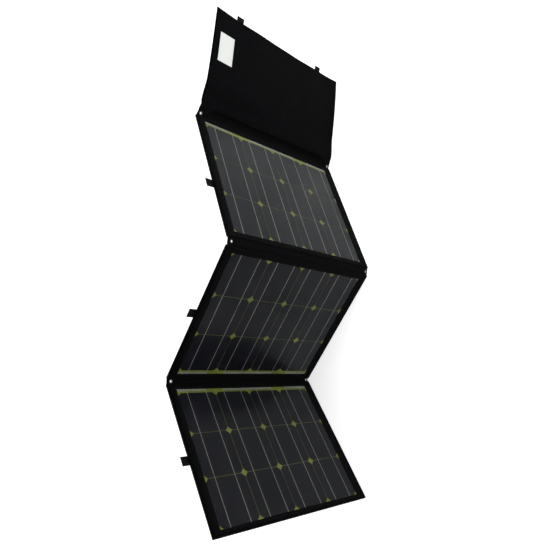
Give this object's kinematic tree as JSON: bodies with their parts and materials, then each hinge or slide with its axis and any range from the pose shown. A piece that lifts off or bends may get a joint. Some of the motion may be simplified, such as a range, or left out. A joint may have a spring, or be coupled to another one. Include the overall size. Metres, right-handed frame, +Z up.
{
  "type": "folding solar panel set",
  "caption": "Folding cloth-covered solar panel set: rigid cell panels and a cover flap joined by cloth hinges, standing in a zigzag.",
  "frame": {"origin": "middle of the footprint, on the floor that the panels' long edges stand on", "axes": "+Z up along the fold lines; +X along the zigzag, from the last panel's free edge to the cover flap; -Y is the side that the cells face"},
  "size_m": [1.456, 0.2926, 0.5825],
  "materials": {
    "cloth": "woven matt",
    "tape": "ribbed matt",
    "webbing": "woven matt",
    "foam_board": "matt",
    "laminate": "satin",
    "cell": "gloss under a clear film",
    "tinned_copper": "satin",
    "clear_film": "gloss, clear",
    "box_plastic": "fine texture",
    "diode": "moulded",
    "gland_rubber": "matt",
    "eyelet_metal": "bright",
    "label": "satin"
  },
  "bodies": {
    "panel_1": {"panel_1_back_cover": "cloth", "panel_1_core_board": "foam_board", "panel_1_laminate": "laminate", "panel_1_cells": "cell", "panel_1_busbars": "tinned_copper", "panel_1_bus_ribbons": "tinned_copper", "panel_1_front_sheet": "clear_film", "panel_1_front_border": "cloth", "panel_1_edge_binding": "tape", "panel_1_junction_box": "box_plastic", "panel_1_junction_lid": "box_plastic", "panel_1_bypass_diode": "diode", "panel_1_box_terminals": "tinned_copper", "panel_1_side_tab": "webbing", "output_gland": "gland_rubber"},
    "panel_2": {"panel_2_back_cover": "cloth", "panel_2_core_board": "foam_board", "panel_2_laminate": "laminate", "panel_2_cells": "cell", "panel_2_busbars": "tinned_copper", "panel_2_bus_ribbons": "tinned_copper", "panel_2_front_sheet": "clear_film", "panel_2_front_border": "cloth", "panel_2_edge_binding": "tape", "panel_2_junction_box": "box_plastic", "panel_2_junction_lid": "box_plastic", "panel_2_bypass_diode": "diode", "panel_2_box_terminals": "tinned_copper", "panel_2_side_tab": "webbing"},
    "panel_3": {"panel_3_back_cover": "cloth", "panel_3_core_board": "foam_board", "panel_3_laminate": "laminate", "panel_3_cells": "cell", "panel_3_busbars": "tinned_copper", "panel_3_bus_ribbons": "tinned_copper", "panel_3_front_sheet": "clear_film", "panel_3_front_border": "cloth", "panel_3_edge_binding": "tape", "panel_3_junction_box": "box_plastic", "panel_3_junction_lid": "box_plastic", "panel_3_bypass_diode": "diode", "panel_3_box_terminals": "tinned_copper", "panel_3_side_tab": "webbing"},
    "spine_23": {"fold_3_cloth": "cloth", "fold_3_eyelets": "eyelet_metal", "fold_3_washers": "eyelet_metal"},
    "spine_12": {"fold_2_cloth": "cloth", "fold_2_eyelets": "eyelet_metal", "fold_2_washers": "eyelet_metal"},
    "spine_01": {"fold_1_cloth": "cloth", "fold_1_eyelets": "eyelet_metal", "fold_1_washers": "eyelet_metal"},
    "flap": {"flap_outer_cloth": "cloth", "flap_stiffener": "foam_board", "flap_inner_cloth": "cloth", "flap_binding": "tape", "flap_tabs": "webbing", "flap_label": "label"}
  },
  "joints": [
    {"name": "fold_3_near_panel_2", "type": "hinge", "parent": "panel_2", "child": "spine_23", "pos_m": [-0.35548, 0.14286, 0.28175], "axis": [0, 0, 1], "range_deg": [-37.2, 52.8]},
    {"name": "fold_3_near_panel_3", "type": "hinge", "parent": "spine_23", "child": "panel_3", "pos_m": [-0.36746, 0.14358, 0.28175], "axis": [0, 0, 1], "range_deg": [-37.2, 52.8]},
    {"name": "fold_2_near_panel_2", "type": "hinge", "parent": "panel_2", "child": "spine_12", "pos_m": [-0.0261, -0.13944, 0.28175], "axis": [0, 0, 1], "range_deg": [-31.1, 58.9]},
    {"name": "fold_2_near_panel_1", "type": "hinge", "parent": "spine_12", "child": "panel_1", "pos_m": [-0.00638, -0.14274, 0.28175], "axis": [0, 0, 1], "range_deg": [-31.1, 58.9]},
    {"name": "fold_1_near_panel_1", "type": "hinge", "parent": "panel_1", "child": "spine_01", "pos_m": [0.3951, 0.01621, 0.28175], "axis": [0, 0, -1], "range_deg": [-33.5, 45]},
    {"name": "fold_1_near_flap", "type": "hinge", "parent": "spine_01", "child": "flap", "pos_m": [0.4263, 0.00271, 0.28175], "axis": [0, 0, -1], "range_deg": [0, 101.5]}
  ],
  "couplings": [
    {"joint": "fold_3_near_panel_3", "follows": "fold_3_near_panel_2", "ratio": 1},
    {"joint": "fold_2_near_panel_1", "follows": "fold_2_near_panel_2", "ratio": 1}
  ]
}
